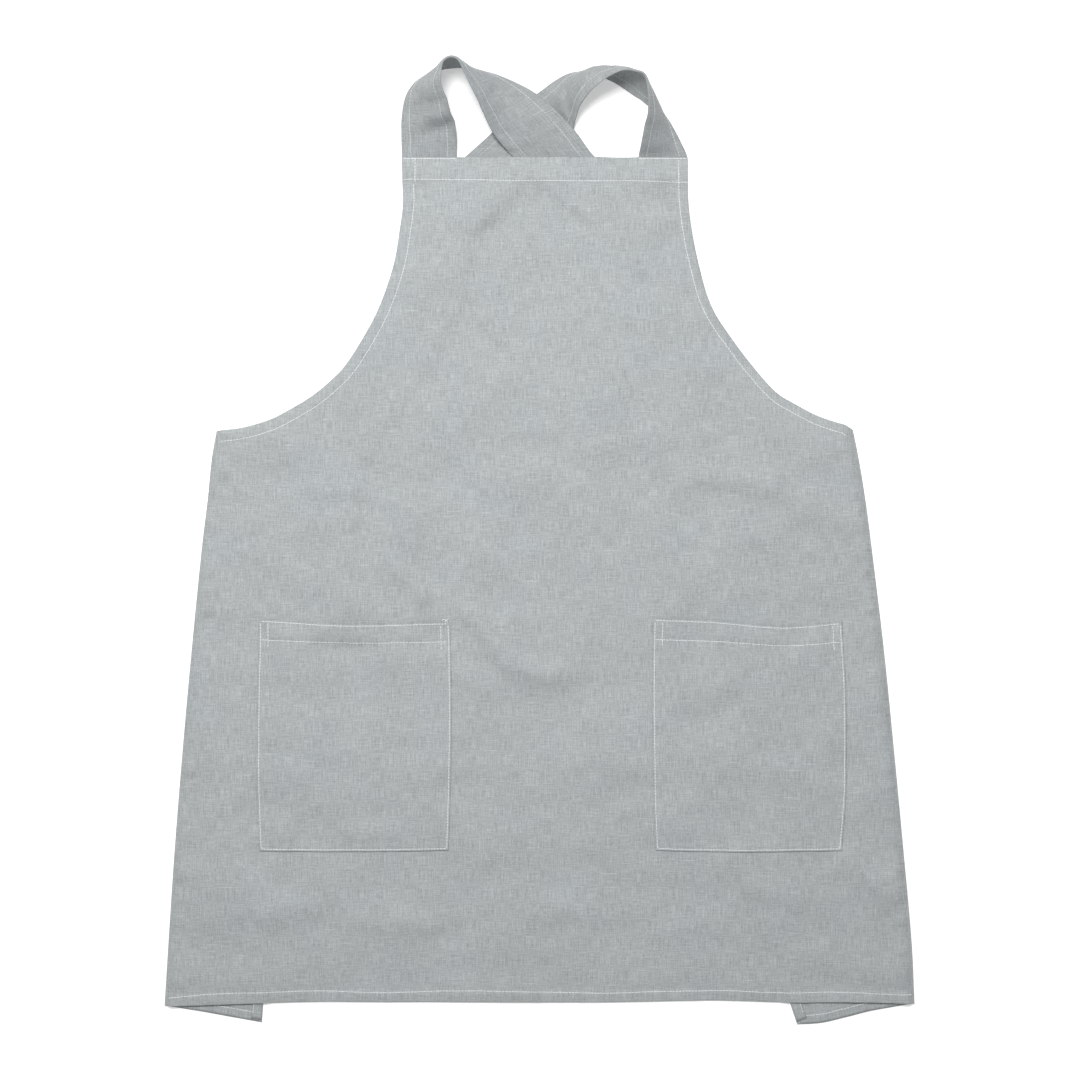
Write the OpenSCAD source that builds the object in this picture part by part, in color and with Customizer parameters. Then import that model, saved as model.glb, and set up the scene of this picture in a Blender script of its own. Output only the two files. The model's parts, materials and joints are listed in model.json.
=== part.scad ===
// Cross-back linen apron lying flat, face up. Millimetres.
// +X to the right of the bib, +Y from the hem to the bib's top edge, +Z up from the table.
// Cloth lies in layers: back panels, their hems, strap tails, front hems, front panel, pockets.
// Each strap is a ruled band whose outer edge stays low while its inner edge rises into an arch.

/* [Node] */
// sub-part to draw, or all

/* [Cloth] */
// thickness of one layer of cloth
cloth_t = 0.6; // [0.4:0.1:1]
// thickness of a strap, two layers of cloth
strap_t = 1.0; // [0.8:0.1:1.6]
// depth of the turned hems
hem_d = 11; // [8:1:15]
// depth of the hem along the bib's top edge
bib_hem_d = 24; // [18:1:30]

/* [Front] */
// x of the bib's left edge
bib_left = -137.5; // [-150:0.5:-120]
// x of the bib's right edge
bib_right = 147.5; // [120:0.5:150]
// y of the bib's top edge
bib_top = 382; // [350:1:400]
// x of the left underarm corner
arm_left = -323; // [-340:1:-300]
// x of the right underarm corner
arm_right = 312; // [300:1:340]
// y of the underarm corners
arm_y = 110; // [80:1:140]
// x of the bottom hem's left end
hem_left = -375; // [-400:1:-350]
// x of the bottom hem's right end
hem_right = 374; // [350:1:400]
// y of the bottom hem
hem_y = -463; // [-480:1:-440]

/* [Back panels] */
// how far the back corners hang below the front hem
back_drop = 20; // [0:1:40]
// width of the facing along the back armholes
facing_d = 34; // [20:1:40]

/* [Pockets] */
// width of each pocket
pocket_w = 191; // [160:1:220]
// height of each pocket
pocket_h = 230; // [180:1:260]
// y of the pocket mouths
pocket_top = -80; // [-120:1:-40]
// x of the left pocket's left edge
pocket_left_x = -281; // [-300:1:-260]
// x of the right pocket's left edge
pocket_right_x = 113; // [90:1:130]
// how far the mouth gapes at its middle
pocket_gape = 6; // [5:0.5:10]
// how far the mouth's edge sags at its middle
pocket_sag = 6; // [0:0.5:12]
// depth of the pocket hem
pocket_hem_d = 22; // [15:1:30]

/* [Straps] */
// how high the arches stand above the table
strap_rise = 56; // [40:1:70]
// gap along the bib's top edge where the straps fold
fold_gap = 1.5; // [1:0.1:3]

/* [Thread] */
// width of a row of stitching
thread_w = 0.8; // [0.5:0.1:1.2]
// height of a row of stitching
thread_h = 0.3; // [0.2:0.05:0.5]

/* [Hidden] */
z_back_hem = cloth_t;
z_back_top = 2 * cloth_t;
z_tail_right = z_back_top + 0.1 + strap_t / 2;
z_tail_left = z_tail_right + strap_t + 0.4;
z_front_hem = z_tail_left + strap_t / 2 + 0.4;
z_front = z_front_hem + cloth_t;
z_pocket = z_front + cloth_t;
z_loop = z_front - strap_t / 2 + 0.3;
pivot_y = bib_top + fold_gap / 2;
loop_y = bib_top + fold_gap;
linen = [0.70, 0.72, 0.74];
linen_inside = [0.62, 0.64, 0.66];
thread = [0.88, 0.89, 0.90];

// ---- curves ----
function at(v, i) = v[max(0, min(len(v) - 1, i))];
function curve(a, b, c, d, t) =
  0.5 * (2 * b + (c - a) * t + (2 * a - 5 * b + 4 * c - d) * t * t
  + (3 * b - a - 3 * c + d) * t * t * t);
function spline(v, n) = concat(
  [for (i = [0 : len(v) - 2]) for (k = [0 : n - 1])
    curve(at(v, i - 1), v[i], v[i + 1], at(v, i + 2), k / n)],
  [v[len(v) - 1]]
);
function rev(v) = [for (i = [len(v) - 1 : -1 : 0]) v[i]];
function unit(v) = v / norm(v);
function left_of(a, b) = let (t = unit(b - a)) [-t[1], t[0]];
function side(p, i) =
  i == 0 ? left_of(p[0], p[1]) :
  i == len(p) - 1 ? left_of(p[i - 1], p[i]) :
  let (m = left_of(p[i - 1], p[i]) + left_of(p[i], p[i + 1])) m * 2 / (m * m);
// the path moved sideways by d, to its left when d is positive
function shifted(p, d) = [for (i = [0 : len(p) - 1]) p[i] + side(p, i) * d];
function band(p, a, b) = concat(shifted(p, a), rev(shifted(p, b)));
function from_to(p, a, b) = [for (i = [a : len(p) - 1 - b]) p[i]];

module layer(outline, z, t) {
  translate([0, 0, z])
    linear_extrude(height = t)
      polygon(outline);
}

module row(path, z) {
  layer(band(path, -thread_w / 2, thread_w / 2), z, thread_h);
}

// closed skin between two grids of points with the same rows and columns
module skin(top, bottom) {
  r = len(top);
  c = len(top[0]);
  n = r * c;
  pts = concat([for (a = top) for (p = a) p], [for (a = bottom) for (p = a) p]);
  over = [for (i = [0 : r - 2]) for (j = [0 : c - 2]) let (k = i * c + j)
    each [[k, k + c, k + 1], [k + 1, k + c, k + c + 1]]];
  under = [for (i = [0 : r - 2]) for (j = [0 : c - 2]) let (k = n + i * c + j)
    each [[k, k + 1, k + c], [k + 1, k + c + 1, k + c]]];
  ends = [for (j = [0 : c - 2]) let (k = (r - 1) * c + j)
    each [[j, j + 1, n + j], [j + 1, n + j + 1, n + j], [k, n + k, k + 1], [k + 1, n + k, n + k + 1]]];
  edges = [for (i = [0 : r - 2]) let (k = i * c, m = i * c + c - 1)
    each [[k, n + k, k + c], [k + c, n + k, n + k + c], [m, m + c, n + m], [m + c, n + m + c, n + m]]];
  polyhedron(points = pts, faces = concat(over, under, ends, edges), convexity = 8);
}

// ---- outlines ----
// armhole as shares of the way from the bib's corner to the underarm corner
arm_shape = [
  [0, 0], [0, 0.13], [0.013, 0.26], [0.05, 0.39], [0.13, 0.545], [0.235, 0.665],
  [0.345, 0.765], [0.5, 0.865], [0.645, 0.922], [0.82, 0.97], [1, 1]
];
function arm(x0, x1) =
  spline([for (s = arm_shape) [x0 + (x1 - x0) * s[0], bib_top + (arm_y - bib_top) * s[1]]], 4);
left_arm = arm(bib_left, arm_left);
right_arm = arm(bib_right, arm_right);
left_side = spline([[arm_left, arm_y], [-349, -120], [-364, -310], [hem_left, hem_y - 3]], 4);
right_side = spline([[arm_right, arm_y], [326, 10], [343, -120], [362, -310], [hem_right, hem_y]], 4);
bottom = [
  [hem_left, hem_y - 3], [-323, hem_y - 1], [-211, hem_y + 2], [60, hem_y + 2],
  [172, hem_y + 3], [250, hem_y + 1], [hem_right, hem_y]
];
front = concat(left_arm, from_to(left_side, 1, 0), from_to(bottom, 1, 0), from_to(rev(right_side), 1, 0),
  from_to(rev(right_arm), 1, 0));

// back panels: the centre edge runs from the neck, where the strap is sewn on, to its foot
left_foot = [-278, hem_y + 1 - back_drop];
right_foot = [257, hem_y - 1 - back_drop];
left_centre = spline([
  [-74, 309], [-80, 250], [-105, 190], [-145, 130], [-178, 75], [-190, 20], [-194, -37],
  [-206, -130], [-240, -260], [-268, -360], left_foot
], 2);
right_centre = spline([
  [50, 318], [56, 280], [64, 242], [78, 195], [97, 150], [112, 100], [115, 54],
  [118, 0], [150, -180], [185, -290], [225, -390], right_foot
], 2);
left_back_arm = [
  [-316, 106], [-298, 105], [-257, 119], [-230, 135], [-206, 155], [-185, 179],
  [-166, 210], [-150, 248], [-139, 290], [-132, 326]
];
right_back_arm = [
  [305, 109], [287, 112], [250, 128], [222, 146], [203, 166], [186, 193],
  [166, 228], [155, 265], [147, 300], [141, 330]
];
left_back_hem = [left_foot, [-355, hem_y - 5], [hem_left + 2, hem_y - 3]];
right_back_hem = [right_foot, [281, hem_y - back_drop], [328, hem_y - 8], [hem_right - 2, hem_y]];
left_back = concat(left_back_arm, [[-108, 352]], left_centre, from_to(left_back_hem, 1, 0),
  from_to(rev(left_side), 1, 0));
right_back = concat(right_back_arm, [[118, 348], [84, 361]], right_centre, from_to(right_back_hem, 1, 0),
  from_to(rev(right_side), 1, 0));

// ---- front ----
module front_panel() {
  color(linen)
    layer(front, z_front, cloth_t);
}

module bib_top_hem() {
  color(linen_inside)
    layer([[bib_left + 0.5, bib_top - 0.5], [bib_left + 0.5, bib_top - bib_hem_d],
      [bib_right - 0.5, bib_top - bib_hem_d], [bib_right - 0.5, bib_top - 0.5]], z_front_hem, cloth_t);
}

// the armhole from just under the bib hem to just short of the underarm corner
module left_armhole_hem() {
  color(linen_inside)
    layer(band(from_to(left_arm, 3, 2), 0.5, hem_d), z_front_hem, cloth_t);
}

module right_armhole_hem() {
  color(linen_inside)
    layer(band(from_to(right_arm, 3, 2), -0.5, -hem_d), z_front_hem, cloth_t);
}

module bottom_hem() {
  color(linen_inside)
    layer(band(concat([[hem_left + 8, hem_y - 2.6]], from_to(bottom, 1, 1), [[hem_right - 8, hem_y]]),
      0.5, hem_d),
      z_front_hem, cloth_t);
}

// ---- back ----
module left_back_panel() {
  color(linen)
    layer(left_back, 0, cloth_t);
}

module right_back_panel() {
  color(linen)
    layer(right_back, 0, cloth_t);
}

module left_back_edge_hem() {
  color(linen_inside)
    layer(band(from_to(left_centre, 2, 0), -0.5, -hem_d), z_back_hem, cloth_t);
}

module right_back_edge_hem() {
  color(linen_inside)
    layer(band(from_to(right_centre, 2, 0), 0.5, hem_d), z_back_hem, cloth_t);
}

module left_back_bottom_hem() {
  color(linen_inside)
    layer(band(rev([left_foot + [-13, 2.5], [-355, hem_y - 4.6], [-370, hem_y - 3]]), 0.5, hem_d),
      z_back_hem, cloth_t);
}

module right_back_bottom_hem() {
  color(linen_inside)
    layer(band([[272, hem_y - back_drop + 0.5], [281, hem_y - back_drop + 0.3],
      [328, hem_y - 7.7], [368, hem_y - 0.8]],
      0.5, hem_d), z_back_hem, cloth_t);
}

module left_back_armhole_hem() {
  color(linen_inside)
    layer(band(from_to(left_back_arm, 1, 0), -0.5, -facing_d), z_back_hem, cloth_t);
}

module right_back_armhole_hem() {
  color(linen_inside)
    layer(band(from_to(right_back_arm, 1, 0), 0.5, facing_d), z_back_hem, cloth_t);
}

module left_side_seam() {
  color(linen_inside)
    layer(band(from_to(left_side, 1, 1), 0.5, 7), z_back_hem, z_front - z_back_hem);
}

module right_side_seam() {
  color(linen_inside)
    layer(band(from_to(right_side, 1, 1), -0.5, -7), z_back_hem, z_front - z_back_hem);
}

// ---- pockets ----
// columns as distances from the left edge, and how much of the gape each has
pocket_cols = [
  [0, 0], [9, 0], [30, 1], [pocket_w / 2, 1], [pocket_w - 30, 1], [pocket_w - 9, 0], [pocket_w, 0]
];
pocket_rows = [[0, 1], [pocket_h * 0.3, 1], [pocket_h - 34, 0.95], [pocket_h - 9, 0], [pocket_h, 0]];
function sag(x) = pocket_sag * sin(180 * x / pocket_w);
function pocket_at(x0, x, d, rise, z) =
  [x0 + x, pocket_top - d - sag(x) * (1 - d / pocket_h), z_pocket + pocket_gape * rise + z];

module pocket_cloth(x0) {
  skin([for (r = pocket_rows) [for (c = pocket_cols) pocket_at(x0, c[0], r[0], r[1] * c[1], cloth_t)]],
    [for (r = pocket_rows) [for (c = pocket_cols) pocket_at(x0, c[0], r[0], r[1] * c[1], 0)]]);
}

// the turned edge inside the mouth, between the two seams
module pocket_turn(x0) {
  c = from_to(pocket_cols, 2, 2);
  skin([for (d = [0.5, pocket_hem_d]) [for (k = c) pocket_at(x0, k[0], d, k[1], 0)]],
    [for (d = [0.5, pocket_hem_d]) [for (k = c) pocket_at(x0, k[0], d, k[1], -cloth_t)]]);
}

module pocket_seam(x0) {
  row([[x0 + 2, pocket_top - 3], [x0 + 2, pocket_top - pocket_h + 2],
    [x0 + pocket_w - 2, pocket_top - pocket_h + 2], [x0 + pocket_w - 2, pocket_top - 3]], z_pocket + cloth_t);
}

// the row across the mouth stops just inside the side seams
module pocket_row(x0) {
  c = concat([[4, 0]], from_to(pocket_cols, 1, 1), [[pocket_w - 4, 0]]);
  d = pocket_hem_d - 1;
  low = cloth_t + 0.05;
  skin([for (w = [-1, 1]) [for (k = c) pocket_at(x0, k[0], d + w * thread_w / 2, k[1], low + thread_h)]],
    [for (w = [-1, 1]) [for (k = c) pocket_at(x0, k[0], d + w * thread_w / 2, k[1], low)]]);
}

module left_pocket() {
  color(linen)
    pocket_cloth(pocket_left_x);
}

module right_pocket() {
  color(linen)
    pocket_cloth(pocket_right_x);
}

module left_pocket_hem() {
  color(linen_inside)
    pocket_turn(pocket_left_x);
}

module right_pocket_hem() {
  color(linen_inside)
    pocket_turn(pocket_right_x);
}

// ---- straps ----
// each station: outer edge x, y, z, inner edge x, y, z, then how far the middle bulges outwards
top_z = strap_rise;
left_stations = [
  [-138, loop_y, z_loop, -83, loop_y, z_loop, 0],
  [-138.5, 405, 3.5, -83, 404, 12, 2],
  [-138, 425, 2, -87, 420, 28, 4],
  [-134, 443, 1.2, -92, 432, 43, 5],
  [-124, 457, 1.2, -96.5, 447, 53, 5],
  [-106, 467, 1.2, -95, 461, top_z, 4],
  [-88, 471, 1.2, -86, 471, top_z, 3],
  [-68, 470, 1.2, -77, 462, top_z - 2, 3],
  [-46, 465, 1.5, -70, 448, top_z - 7, 4],
  [-24, 456, 3, -60, 430, 38, 4],
  [-5, 445, 5.5, -53, 415, 24, 3],
  [12, 431, 6.5, -46, 403, 14, 2],
  [33, 410, 6, -37, 392.5, 7.5, 1],
  [54, loop_y, z_tail_left, -28, loop_y, z_tail_left, 0]
];
right_stations = [
  [147, loop_y, z_loop, 98.5, loop_y, z_loop, 0],
  [141, 397, 4, 100.5, 394, 16, 4],
  [134, 410, 2.5, 103, 407, 31, 5],
  [127, 420, 1.2, 105, 417, 44, 6],
  [117, 429, 1.2, 106, 430, top_z - 3, 6],
  [105, 436, 1.2, 104, 446, top_z, 7],
  [94, 444, 1.2, 98, 456, top_z, 8],
  [84, 451, 1.2, 83, 459, top_z - 3, 8],
  [74, 457, 1.2, 71, 456, top_z - 7, 8],
  [62, 462.5, 1.2, 59, 450, top_z - 12, 8],
  [46, 466.5, 1.2, 48, 441, top_z - 20, 7],
  [30, 465.5, 1.2, 40, 430, 26, 5],
  [14, 458, 1.2, 35.5, 419, 14, 2],
  [-6, 444, 1.2, 33, 409, 3, 0],
  [-27, 427, 1.2, 24, 398, 2.4, 0],
  [-48, 407, 1.4, 15, 390, 2, 0],
  [-74, loop_y, z_tail_right, 4, loop_y, z_tail_right, 0]
];
left_loop = spline(left_stations, 4);
right_loop = spline(right_stations, 4);
function outer(s) = [s[0], s[1], s[2]];
function inner(s) = [s[3], s[4], s[5]];
function face_way(l, i, turn) =
  let (a = at(l, i - 1), b = at(l, i + 1), along = outer(b) + inner(b) - outer(a) - inner(a))
  turn * unit(cross(inner(l[i]) - outer(l[i]), along));
function on_strap(l, i, u, lift, turn) =
  outer(l[i]) + (inner(l[i]) - outer(l[i])) * u
  + face_way(l, i, turn) * (lift + l[i][6] * 4 * u * (1 - u));
module strap_band(l, shares, low, high, turn) {
  skin([for (i = [0 : len(l) - 1]) [for (u = shares) on_strap(l, i, u, turn > 0 ? high : low, turn)]],
    [for (i = [0 : len(l) - 1]) [for (u = shares) on_strap(l, i, u, turn > 0 ? low : high, turn)]]);
}

whole = [0, 0.2, 0.4, 0.6, 0.8, 1];
seam_a = [0.15, 0.165];
seam_b = [0.835, 0.85];

module left_strap() {
  color(linen)
    strap_band(left_loop, whole, -strap_t / 2, strap_t / 2, 1);
}

module right_strap() {
  color(linen)
    strap_band(right_loop, whole, -strap_t / 2, strap_t / 2, -1);
}

module tail(a, b, c, d, z0, z1) {
  m = strap_t / 2;
  skin([[[a[0], a[1], z0 + m], [b[0], b[1], z0 + m]], [[c[0], c[1], z1 + m], [d[0], d[1], z1 + m]]],
    [[[a[0], a[1], z0 - m], [b[0], b[1], z0 - m]], [[c[0], c[1], z1 - m], [d[0], d[1], z1 - m]]]);
}

module left_strap_tail() {
  color(linen_inside)
    tail([-26.5, bib_top - 1], [54.5, bib_top - 1], [100, 283], [134, 326], z_tail_left, z_tail_right);
}

module right_strap_tail() {
  color(linen_inside)
    tail([-75.5, bib_top - 1], [2.5, bib_top - 1], [-124, 326], [-90, 283], z_tail_right, z_tail_right);
}

// ---- thread ----
module bib_top_thread() {
  color(thread)
    row([[bib_left + 10, bib_top - 22], [0, bib_top - 23], [bib_right - 4, bib_top - 24.5]], z_pocket);
}

module left_armhole_thread() {
  color(thread)
    row(shifted(from_to(left_arm, 3, 1), hem_d + 1), z_pocket);
}

module right_armhole_thread() {
  color(thread)
    row(shifted(from_to(right_arm, 4, 1), -hem_d + 1), z_pocket);
}

module bottom_hem_thread() {
  color(thread)
    row(shifted(concat([[hem_left + 5, hem_y - 2.8]], from_to(bottom, 1, 0)), hem_d), z_pocket);
}

module left_pocket_thread() {
  color(thread)
    pocket_seam(pocket_left_x);
}

module right_pocket_thread() {
  color(thread)
    pocket_seam(pocket_right_x);
}

module left_pocket_hem_thread() {
  color(thread)
    pocket_row(pocket_left_x);
}

module right_pocket_hem_thread() {
  color(thread)
    pocket_row(pocket_right_x);
}

module left_strap_thread() {
  m = strap_t / 2 + 0.2;
  color(thread) {
    strap_band(left_loop, seam_a, m, m + thread_h, 1);
    strap_band(left_loop, seam_b, m, m + thread_h, 1);
  }
}

module right_strap_thread() {
  m = strap_t / 2 + 0.2;
  seam_run = from_to(right_loop, 0, 3);
  color(thread) {
    strap_band(seam_run, seam_a, m, m + thread_h, -1);
    strap_band(seam_run, seam_b, m, m + thread_h, -1);
  }
}

module left_strap_end_thread() {
  color(thread)
    row([[bib_left + 2, bib_top - 1.5], [-84, bib_top - 1.5]], z_pocket);
}

module right_strap_end_thread() {
  color(thread)
    row([[99, bib_top - 1.5], [bib_right - 2, bib_top - 1.5]], z_pocket);
}

module left_back_hem_thread() {
  color(thread)
    row(concat(shifted(from_to(left_centre, 4, 1), 1 - hem_d),
      [left_foot + [-9, 12], [-355, hem_y + 4], [-368, hem_y + 6]]), z_back_top);
}

module right_back_hem_thread() {
  color(thread)
    row(concat(shifted(from_to(right_centre, 4, 1), hem_d - 1),
      [right_foot + [10, 11], [281, hem_y - back_drop + 9], [328, hem_y + 1], [364, hem_y + 8]]), z_back_top);
}

front_panel();
bib_top_hem();
left_armhole_hem();
right_armhole_hem();
bottom_hem();
left_back_panel();
right_back_panel();
left_back_edge_hem();
right_back_edge_hem();
left_back_bottom_hem();
right_back_bottom_hem();
left_back_armhole_hem();
right_back_armhole_hem();
left_side_seam();
right_side_seam();
left_pocket();
right_pocket();
left_pocket_hem();
right_pocket_hem();
left_strap();
right_strap();
left_strap_tail();
right_strap_tail();
bib_top_thread();
left_armhole_thread();
right_armhole_thread();
bottom_hem_thread();
left_pocket_thread();
right_pocket_thread();
left_pocket_hem_thread();
right_pocket_hem_thread();
left_strap_thread();
right_strap_thread();
left_strap_end_thread();
right_strap_end_thread();
left_back_hem_thread();
right_back_hem_thread();
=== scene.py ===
"""A cross-back linen apron lying flat, face up.

Shapes are worked out in millimetres, in the CAD model's frame. Meshes are made in metres.
"""

import json
import math

import bpy
import numpy as np
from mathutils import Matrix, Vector
from mathutils.bvhtree import BVHTree
from mathutils.geometry import delaunay_2d_cdt
from mathutils.kdtree import KDTree

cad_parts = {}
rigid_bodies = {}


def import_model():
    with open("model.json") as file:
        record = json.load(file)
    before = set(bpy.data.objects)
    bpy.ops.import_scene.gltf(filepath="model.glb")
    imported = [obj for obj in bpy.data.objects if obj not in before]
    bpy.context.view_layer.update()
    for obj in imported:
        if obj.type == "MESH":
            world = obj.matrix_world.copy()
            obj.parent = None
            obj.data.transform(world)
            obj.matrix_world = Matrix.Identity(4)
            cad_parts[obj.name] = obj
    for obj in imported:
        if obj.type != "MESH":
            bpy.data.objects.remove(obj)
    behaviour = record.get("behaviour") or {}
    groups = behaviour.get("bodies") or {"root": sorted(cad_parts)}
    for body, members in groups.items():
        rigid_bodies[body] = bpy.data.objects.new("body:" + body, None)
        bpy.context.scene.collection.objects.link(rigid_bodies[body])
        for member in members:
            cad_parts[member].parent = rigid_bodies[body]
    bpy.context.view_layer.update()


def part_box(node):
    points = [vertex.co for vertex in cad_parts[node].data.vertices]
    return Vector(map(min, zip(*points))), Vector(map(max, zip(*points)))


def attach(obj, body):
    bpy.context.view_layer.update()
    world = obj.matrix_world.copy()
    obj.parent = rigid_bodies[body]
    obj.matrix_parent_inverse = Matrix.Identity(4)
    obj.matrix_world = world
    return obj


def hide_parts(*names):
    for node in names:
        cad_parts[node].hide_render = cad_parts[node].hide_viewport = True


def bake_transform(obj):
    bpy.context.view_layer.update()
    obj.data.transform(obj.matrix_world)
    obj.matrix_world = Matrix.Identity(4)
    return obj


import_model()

MM = 0.001
CLOTH = 0.55  # thickness of one layer of linen
TURNED = 0.45  # thickness of a turned layer, pressed flat
POCKET_CLOTH = 0.6
HEM_RISE = 0.7  # how much a turned hem lifts the cloth
HEM_D = 11.0  # depth of the narrow hems
BIB_HEM_D = 24.0
POCKET_HEM_D = 19.5
BACK_FLAP_HEM_D = 10.2
FACING_D = 34.0  # depth of the back armhole facings
SEAM_D = 11.0  # how far the side seams reach in from the fold
STRAP_W = 55.0
BIB_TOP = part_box("bib_top_hem")[1][1] / MM + 0.5


# ---- curves ----
def spline(points, step=3.0):
    """A smooth curve through points with any number of values, which are interpolated together."""
    p = np.asarray(points, float)
    q = np.vstack([2 * p[0] - p[1], p, 2 * p[-1] - p[-2]])
    dense = []
    for i in range(1, len(q) - 2):
        a, b, c, d = q[i - 1 : i + 3]
        t = np.linspace(0, 1, 40, endpoint=False)[:, None]
        dense.append(
            0.5 * (2 * b + (c - a) * t + (2 * a - 5 * b + 4 * c - d) * t**2 + (3 * b - a - 3 * c + d) * t**3)
        )
    dense = np.vstack([*dense, p[-1:]])
    return even(dense, step)


def even(p, step):
    """The same line with points about step apart, measured on its first three values."""
    p = np.asarray(p, float)
    gaps = np.linalg.norm(np.diff(p[:, :3], axis=0), axis=1)
    s = np.concatenate([[0], np.cumsum(gaps)])
    n = max(2, int(round(s[-1] / step)) + 1)
    at = np.linspace(0, s[-1], n)
    return np.column_stack([np.interp(at, s, p[:, k]) for k in range(p.shape[1])])


def sideways(p, d):
    """The line moved by d to its left, or to its right where d is negative."""
    t = np.gradient(p[:, :2], axis=0)
    t /= np.linalg.norm(t, axis=1)[:, None]
    return p[:, :2] + np.column_stack([-t[:, 1], t[:, 0]]) * d


def unit(v):
    return v / (np.linalg.norm(v, axis=-1, keepdims=True) + 1e-9)


def smooth(t):
    """From 0 to 1, with an easy start and end."""
    t = np.clip(t, 0, 1)
    return t * t * (3 - 2 * t)


def inside(poly, x, y):
    """Whether each point is inside the outline."""
    hit = np.zeros(x.shape, bool)
    for (x0, y0), (x1, y1) in zip(poly, np.roll(poly, -1, 0)):
        if y0 != y1:
            cut = (y > min(y0, y1)) & (y <= max(y0, y1))
            hit ^= cut & (x < (y - y0) * (x1 - x0) / (y1 - y0) + x0)
    return hit


# ---- fields: rasters over the table, in millimetres ----
CELL = 2.0
GX = np.arange(-400, 401, CELL)
GY = np.arange(-510, 511, CELL)
XX, YY = np.meshgrid(GX, GY)


def kernel(n, sigma):
    i = np.arange(n)
    k = np.exp(-0.5 * ((i[:, None] - i[None, :]) * CELL / sigma) ** 2)
    return k / k.sum(1, keepdims=True)


def blur(a, sigma_x, sigma_y=None):
    return kernel(len(GY), sigma_y or sigma_x) @ a @ kernel(len(GX), sigma_x).T


def widest(a, cells):
    """Each cell takes the highest value near it."""
    out = a.copy()
    for dx in range(-cells, cells + 1):
        for dy in range(-cells, cells + 1):
            if dx * dx + dy * dy <= cells * cells:
                out = np.maximum(out, np.roll(np.roll(a, dx, 1), dy, 0))
    return out


def noise(sigma_x, sigma_y=None, seed=0):
    """Smooth seeded noise, about -1 to 1."""
    a = blur(np.random.default_rng(seed).standard_normal(XX.shape), sigma_x, sigma_y)
    return a / (2.2 * a.std())


def mask(poly):
    """1 inside the outline, 0 outside."""
    return inside(np.asarray(poly, float), XX, YY).astype(float)


def sample(a, x, y):
    """The field's value at points."""
    u = np.clip((np.asarray(x) - GX[0]) / CELL, 0, len(GX) - 1.001)
    v = np.clip((np.asarray(y) - GY[0]) / CELL, 0, len(GY) - 1.001)
    i, j = u.astype(int), v.astype(int)
    fu, fv = u - i, v - j
    return (
        a[j, i] * (1 - fu) * (1 - fv) + a[j, i + 1] * fu * (1 - fv)
        + a[j + 1, i] * (1 - fu) * fv + a[j + 1, i + 1] * fu * fv
    )


def crease(points, height, width, fade=0.25):
    """A soft ridge, or a valley where height is negative, along a line, fading out at its ends."""
    p = spline(points, 8)
    best = np.full(XX.shape, 1e9)
    along = np.zeros(XX.shape)
    n = len(p) - 1
    for k in range(n):
        ax, ay = p[k]
        bx, by = p[k + 1] - p[k]
        t = np.clip(((XX - ax) * bx + (YY - ay) * by) / (bx * bx + by * by), 0, 1)
        d = (XX - ax - t * bx) ** 2 + (YY - ay - t * by) ** 2
        closer = d < best
        best = np.where(closer, d, best)
        along = np.where(closer, (k + t) / n, along)
    ends = smooth(np.minimum(along, 1 - along) / fade)
    return height * ends * np.exp(-best / (2 * width * width))


# ---- outlines, each from its top or its centre outwards ----
left_arm = spline(
    [(-137.5, BIB_TOP), (-137.5, 358), (-137, 335), (-140, 310), (-146, 275), (-160, 234), (-176, 203),
     (-194, 175), (-208, 160), (-228, 143.5), (-256, 127), (-273, 119), (-298, 112), (-323, 109)]
)
right_arm = spline(
    [(147.5, BIB_TOP), (147.5, 358), (149.8, 321), (158.5, 275), (171, 234), (191.6, 201), (217, 168),
     (236.5, 147), (254.4, 136), (274.8, 125), (294, 118), (304, 115), (312.5, 110)]
)
left_side = spline(
    [(-323, 109), (-328, 80), (-332, 40), (-338, -10), (-348, -110), (-357, -210), (-365, -310),
     (-371, -400), (-375, -465)]
)
right_side = spline(
    [(312.5, 110), (318.5, 80), (325, 40), (331.5, -10), (343.5, -110), (353.5, -210), (363, -310),
     (371, -400), (374, -463)]
)
bottom = spline(
    [(-375, -465), (-350, -465), (-323, -464), (-272, -462.5), (-211, -461.3), (-100, -461.6), (60, -461.8),
     (172, -460), (250, -462), (310, -461.6), (374, -463)]
)
bib_edge = even([(-137.5, BIB_TOP), (147.5, BIB_TOP)], 3)
front_outline = np.vstack(
    [left_arm[:-1], left_side[:-1], bottom[:-1],
     right_side[::-1][:-1], right_arm[::-1][:-1], bib_edge[::-1][:-1]]
)

left_foot, right_foot = (-278, -482), (257, -484)
left_centre = spline(
    [(-74, 309), (-80, 250), (-105, 190), (-145, 130), (-178, 75), (-190, 20), (-194, -37), (-206, -130),
     (-240, -260), (-268, -360), left_foot]
)
right_centre = spline(
    [(50, 318), (56, 280), (64, 242), (78, 195), (97, 150), (112, 100), (115, 54), (118, 0), (150, -180),
     (185, -290), (225, -390), right_foot]
)
left_back_arm = spline(
    [(-319, 106), (-298, 106), (-257, 120), (-230, 136), (-206, 155), (-186, 179), (-167, 210), (-151, 248),
     (-141, 290), (-134, 326)]
)
right_back_arm = spline(
    [(309, 108), (287, 114), (250, 131), (222, 150), (204, 167), (187, 194), (167, 228), (156, 265),
     (148, 300), (143, 330)]
)
left_flap = spline([left_foot, (-300, -478), (-330, -472.5), (-355, -468.5), (-373.5, -465.5)])
right_flap = spline([right_foot, (281, -482.5), (305, -477), (328, -471), (350, -467), (372, -463.5)])
SIDE_STEP = 0.6  # how far the back panels stay inside the front's side folds

left_back_outline = np.vstack(
    [left_back_arm, [(-108, 352)], left_centre[:-1], left_flap[:-1], sideways(left_side, SIDE_STEP)[::-1]]
)
right_back_outline = np.vstack(
    [right_back_arm, [(118, 348), (84, 361)], right_centre[:-1], right_flap[:-1],
     sideways(right_side, -SIDE_STEP)[::-1]]
)

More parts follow.
